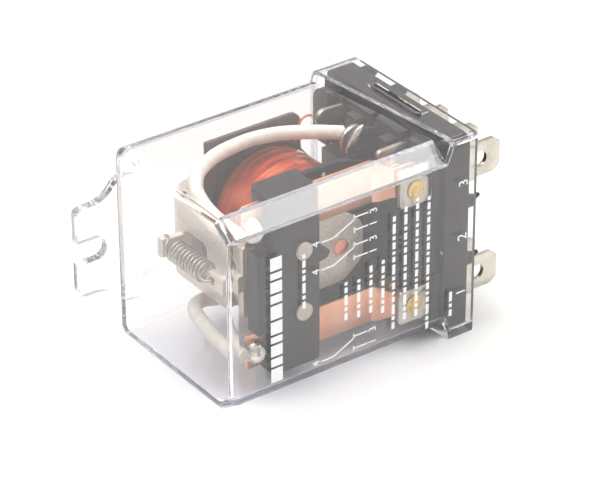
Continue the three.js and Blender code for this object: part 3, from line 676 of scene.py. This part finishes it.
# ---- Return spring -----------------------------------------------------------------------
# A close-wound extension spring of bright music wire, hooked on the armature's tail and on
# the yoke's lug. The drawn wire is smooth, with a dark line between the turns.
def strand(name, points, radius, resolution=8, sides=6):
    """A round wire through the points, in millimetres, as a closed mesh."""
    bpy.ops.object.select_all(action="DESELECT")
    bpy.ops.curve.primitive_bezier_curve_add()
    made = bpy.context.active_object
    made.data.splines.clear()
    spline = made.data.splines.new("BEZIER")
    spline.bezier_points.add(len(points) - 1)
    for knot, point in zip(spline.bezier_points, points):
        knot.co = [c * MM for c in point]
        knot.handle_left_type = knot.handle_right_type = "AUTO"
    made.data.bevel_depth = radius * MM
    made.data.bevel_resolution = sides // 2
    made.data.resolution_u = resolution
    made.data.use_fill_caps = True
    bpy.ops.object.convert(target="MESH")
    made = settled(bpy.context.active_object, name)
    bpy.ops.object.mode_set(mode="EDIT")
    bpy.ops.mesh.select_all(action="SELECT")
    bpy.ops.mesh.remove_doubles(threshold=1e-6)
    bpy.ops.mesh.normals_make_consistent(inside=False)
    bpy.ops.object.mode_set(mode="OBJECT")
    bpy.ops.object.shade_smooth_by_angle(angle=math.radians(50))
    return made


turns, at_x, reach, first, last = 10, -42.6, 1.75, -1.0, 8.2
helix = []
for k in range(turns * 12 + 1):
    t = 2 * math.pi * k / 12
    at_y = first + (last - first) * k / (turns * 12)
    helix.append((at_x - reach * math.cos(t), at_y, reach * math.sin(t)))
front_hook = [
    (-41.5, -3.2, 0), (-42.2, -3.4, 0), (-43, -3.45, 0), (-43.8, -3.2, 0), (-44.3, -2.2, -0.1),
]
back_hook = [
    (-44, 8.9, 0.8), (-43.2, 9.5, 1.5), (-42.6, 10.5, 1.65), (-42.6, 11.5, 1.1), (-42.6, 11.7, -0.4),
]
spring_route = front_hook + helix[1:-1] + back_hook
spring = strand("spring_of_music_wire", spring_route, 0.28, resolution=3, sides=8)
music, tree, shader = material("music_wire_drawn", "#A8A096", Metallic=1.0, Roughness=0.2)
place = put(tree, "TexCoord")
drawn = put(tree, "TexNoise", {"Vector": place.outputs["Object"], "Scale": 2200, "Detail": 2})
shade = put(tree, "ValToRGB", {"Fac": drawn.outputs["Fac"]}, [(0.3, "#8C847A"), (0.7, "#BDB5AA")])
tree.links.new(shade.outputs["Color"], shader.inputs["Base Color"])
skin = put(tree, "Bump", {"Height": drawn.outputs["Fac"], "Strength": 0.1, "Distance": 0.00002})
tree.links.new(skin.outputs["Normal"], shader.inputs["Normal"])
spring.data.materials.append(music)
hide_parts("return_spring")
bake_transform(spring)


# ---- Pigtail leads -----------------------------------------------------------------------
# Two flexible leads in off-white silicone rubber sleeving carry the current from the common
# lugs round the closed end to the arms. Extruded silicone is matt and faintly ribbed.
leads = {
    "upper": [
        (-12.6, 3.1, 13.6), (-14.6, 3.9, 14), (-17.6, 6.2, 14), (-23, 9.4, 13.8), (-30.4, 10, 13.7),
        (-37.2, 8, 13.6), (-41.8, 4.2, 13.4), (-43.8, -0.2, 12.8), (-44.1, -4.6, 11.8),
        (-43.8, -8.4, 11.2), (-43.5, -10.6, 11),
    ],
    "lower": [
        (-12.6, 3.1, -13.6), (-14.8, 4, -14.2), (-18, 6.2, -14.6), (-23, 8.6, -14.6), (-29.6, 9, -14),
        (-35.4, 7.6, -11.8), (-39.8, 5.6, -9.8), (-42.7, 2.6, -9), (-43.6, -2, -9.6),
        (-43.7, -7.4, -10.6), (-43.5, -10.6, -11),
    ],
}
silicone, tree, shader = material("silicone_rubber_extruded", "#EAE2D6", Roughness=0.55)
shader.inputs["Subsurface Weight"].default_value = 0.15
shader.inputs["Subsurface Radius"].default_value = (0.0012, 0.001, 0.0008)
shader.inputs["Subsurface Scale"].default_value = 1.0
place = put(tree, "TexCoord")
soft = put(tree, "TexNoise", {"Vector": place.outputs["Object"], "Scale": 700, "Detail": 4})
shade = put(tree, "ValToRGB", {"Fac": soft.outputs["Fac"]}, [(0.3, "#DDD4C6"), (0.7, "#EFE8DD")])
tree.links.new(shade.outputs["Color"], shader.inputs["Base Color"])
skin = put(tree, "Bump", {"Height": soft.outputs["Fac"], "Strength": 0.25, "Distance": 0.00006})
tree.links.new(skin.outputs["Normal"], shader.inputs["Normal"])
for side, route in leads.items():
    lead = strand(f"lead_sleeve_{side}", route, 1.25, resolution=14, sides=16)
    lead.data.materials.append(silicone)
    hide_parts(f"pigtail_{side}")
    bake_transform(lead)


# ---- Coil wires --------------------------------------------------------------------------
# The ends of the winding come up over the flange and are wrapped on the coil lugs.
for side, up in (("upper", 1), ("lower", -1)):
    tail = strand(
        f"winding_tail_{side}",
        [(-17.8, 9.6, up * 10.5), (-17.2, 9.9, up * 12.2), (-16.2, 10.2, up * 14),
         (-15, 10.1, up * 14.6), (-13.9, 10.15, up * 14.3)],
        0.2, resolution=10, sides=6,
    )
    tail.data.materials.append(lacquer)
    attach(tail, "housing")
    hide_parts(f"coil_wire_{side}")


# ---- Solder ------------------------------------------------------------------------------
# Hand-soldered joints: tin solder has wetted the lead's strands and frozen in bright folds.
solder, tree, shader = material("tin_solder_frozen", "#DCD8D0", Metallic=1.0, Roughness=0.16)
place = put(tree, "TexCoord")
fold = put(tree, "TexNoise", {"Vector": place.outputs["Object"], "Scale": 900, "Detail": 3,
                              "Distortion": 0.6})
shade = put(tree, "ValToRGB", {"Fac": fold.outputs["Fac"]}, [(0.3, "#B9B2A6"), (0.6, "#E8E5DE")])
tree.links.new(shade.outputs["Color"], shader.inputs["Base Color"])
skin = put(tree, "Bump", {"Height": fold.outputs["Fac"], "Strength": 0.8, "Distance": 0.0003})
tree.links.new(skin.outputs["Normal"], shader.inputs["Normal"])
for side in ("upper", "lower"):
    for at in ("arm", "com"):
        eased(f"solder_{at}_{side}", 0, solder)


size = {"cad": cad_box, "visual": [list(corner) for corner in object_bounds()]}
